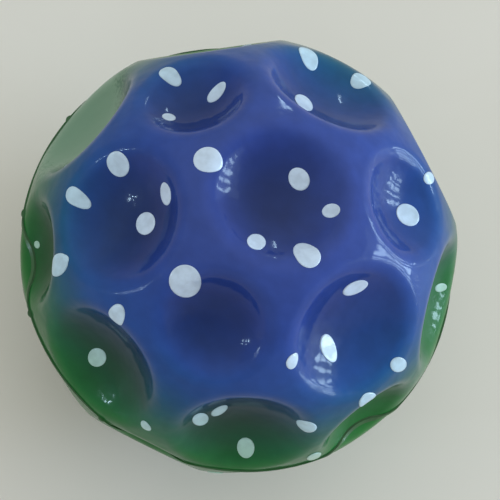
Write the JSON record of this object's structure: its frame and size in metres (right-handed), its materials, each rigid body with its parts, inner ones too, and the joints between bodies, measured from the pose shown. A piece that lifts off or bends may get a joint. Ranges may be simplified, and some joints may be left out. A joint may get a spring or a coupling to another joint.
{
  "type": "bouncy ball",
  "caption": "Solid foam bouncy ball with round craters all over, glossy blue on top and green below, flecked with white paint.",
  "frame": {"origin": "centre of the ball", "axes": "+Z along the axis on which the mould opened, out through the large crater in the middle of the blue side"},
  "size_m": [0.0704, 0.0704, 0.0663],
  "materials": {
    "blue_skin": "gloss under a clear coat",
    "green_skin": "gloss under a clear coat",
    "white_paint": "gloss",
    "foam": "matt, with open cells",
    "flash": "satin"
  },
  "bodies": {
    "root": {"foam_core": "foam", "upper_skin": "blue_skin", "lower_skin": "green_skin", "upper_flecks": "white_paint", "lower_flecks": "white_paint", "mould_flash": "flash"}
  },
  "joints": []
}
